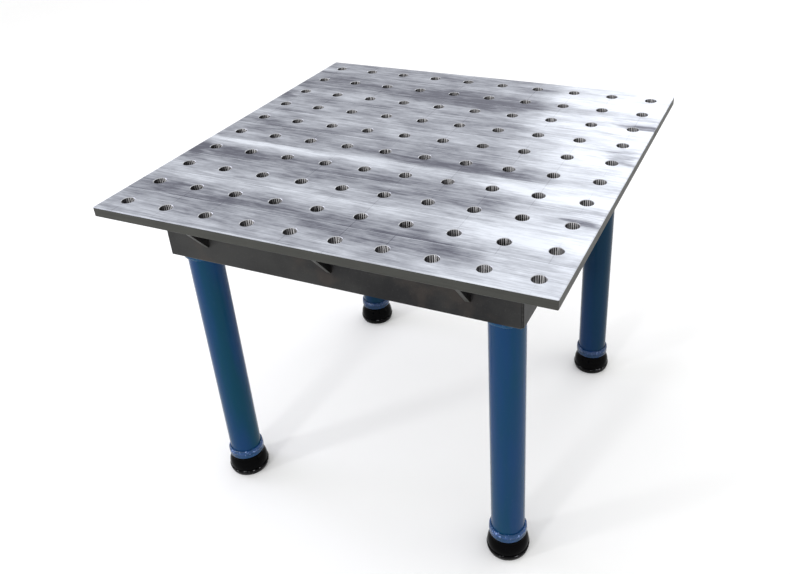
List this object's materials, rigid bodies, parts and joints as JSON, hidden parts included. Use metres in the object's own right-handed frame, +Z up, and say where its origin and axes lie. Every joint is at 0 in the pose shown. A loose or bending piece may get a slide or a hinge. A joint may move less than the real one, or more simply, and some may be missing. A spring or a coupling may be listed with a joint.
{
  "type": "welding table",
  "caption": "Square steel welding table with a grid of clamping holes in its thick top plate, a deep apron frame with gussets, and round legs on screw levelling feet.",
  "frame": {"origin": "on the floor, under the middle of the table", "axes": "+X to the right along the front edge, +Y to the back, +Z up"},
  "size_m": [1, 1, 0.8],
  "materials": {
    "ground_steel": "satin",
    "frame_steel": "matte",
    "weld_metal": "matte",
    "blue_paint": "gloss",
    "black_paint": "gloss",
    "black_rubber": "satin",
    "zinc_steel": "satin"
  },
  "bodies": {
    "table": {"top_plate": "ground_steel", "apron_front": "frame_steel", "gusset_front_left": "frame_steel", "gusset_front_centre": "frame_steel", "gusset_front_right": "frame_steel", "apron_rear": "frame_steel", "gusset_rear_left": "frame_steel", "gusset_rear_centre": "frame_steel", "gusset_rear_right": "frame_steel", "apron_left": "frame_steel", "gusset_left_front": "frame_steel", "gusset_left_centre": "frame_steel", "gusset_left_rear": "frame_steel", "apron_right": "frame_steel", "gusset_right_front": "frame_steel", "gusset_right_centre": "frame_steel", "gusset_right_rear": "frame_steel", "apron_corner_welds": "weld_metal", "cross_rib_front": "frame_steel", "cross_rib_centre": "frame_steel", "cross_rib_rear": "frame_steel", "long_rib_left": "frame_steel", "long_rib_centre": "frame_steel", "long_rib_right": "frame_steel", "mount_plate_front_left": "frame_steel", "leg_flange_front_left": "blue_paint", "leg_tube_front_left": "blue_paint", "leg_socket_front_left": "blue_paint", "mount_plate_front_right": "frame_steel", "leg_flange_front_right": "blue_paint", "leg_tube_front_right": "blue_paint", "leg_socket_front_right": "blue_paint", "mount_plate_rear_left": "frame_steel", "leg_flange_rear_left": "blue_paint", "leg_tube_rear_left": "blue_paint", "leg_socket_rear_left": "blue_paint", "mount_plate_rear_right": "frame_steel", "leg_flange_rear_right": "blue_paint", "leg_tube_rear_right": "blue_paint", "leg_socket_rear_right": "blue_paint", "flange_welds": "blue_paint", "socket_welds": "blue_paint", "leg_screws": "zinc_steel", "leg_washers": "zinc_steel"},
    "foot_base_front_left": {"foot_base_front_left": "zinc_steel", "foot_pad_front_left": "black_rubber"},
    "foot_screw_front_left": {"foot_stud_front_left": "zinc_steel", "foot_cap_front_left": "black_paint"},
    "foot_base_front_right": {"foot_base_front_right": "zinc_steel", "foot_pad_front_right": "black_rubber"},
    "foot_screw_front_right": {"foot_stud_front_right": "zinc_steel", "foot_cap_front_right": "black_paint"},
    "foot_base_rear_left": {"foot_base_rear_left": "zinc_steel", "foot_pad_rear_left": "black_rubber"},
    "foot_screw_rear_left": {"foot_stud_rear_left": "zinc_steel", "foot_cap_rear_left": "black_paint"},
    "foot_base_rear_right": {"foot_base_rear_right": "zinc_steel", "foot_pad_rear_right": "black_rubber"},
    "foot_screw_rear_right": {"foot_stud_rear_right": "zinc_steel", "foot_cap_rear_right": "black_paint"}
  },
  "joints": [
    {"name": "foot_front_left_extend", "type": "slide", "parent": "table", "child": "foot_base_front_left", "axis": [0, 0, -1], "range_m": [0, 0.0251]},
    {"name": "foot_front_left_spin", "type": "hinge", "parent": "foot_base_front_left", "child": "foot_screw_front_left", "pos_m": [-0.359, -0.359, 0.03], "axis": [0, 0, -1], "range_deg": [0, 3600]},
    {"name": "foot_front_right_extend", "type": "slide", "parent": "table", "child": "foot_base_front_right", "axis": [0, 0, -1], "range_m": [0, 0.0251]},
    {"name": "foot_front_right_spin", "type": "hinge", "parent": "foot_base_front_right", "child": "foot_screw_front_right", "pos_m": [0.359, -0.359, 0.03], "axis": [0, 0, -1], "range_deg": [0, 3600]},
    {"name": "foot_rear_left_extend", "type": "slide", "parent": "table", "child": "foot_base_rear_left", "axis": [0, 0, -1], "range_m": [0, 0.0251]},
    {"name": "foot_rear_left_spin", "type": "hinge", "parent": "foot_base_rear_left", "child": "foot_screw_rear_left", "pos_m": [-0.359, 0.359, 0.03], "axis": [0, 0, -1], "range_deg": [0, 3600]},
    {"name": "foot_rear_right_extend", "type": "slide", "parent": "table", "child": "foot_base_rear_right", "axis": [0, 0, -1], "range_m": [0, 0.0251]},
    {"name": "foot_rear_right_spin", "type": "hinge", "parent": "foot_base_rear_right", "child": "foot_screw_rear_right", "pos_m": [0.359, 0.359, 0.03], "axis": [0, 0, -1], "range_deg": [0, 3600]}
  ],
  "couplings": [
    {"joint": "foot_front_left_extend", "follows": "foot_front_left_spin", "m_per_rad": 0.00039789},
    {"joint": "foot_front_right_extend", "follows": "foot_front_right_spin", "m_per_rad": 0.00039789},
    {"joint": "foot_rear_left_extend", "follows": "foot_rear_left_spin", "m_per_rad": 0.00039789},
    {"joint": "foot_rear_right_extend", "follows": "foot_rear_right_spin", "m_per_rad": 0.00039789}
  ]
}
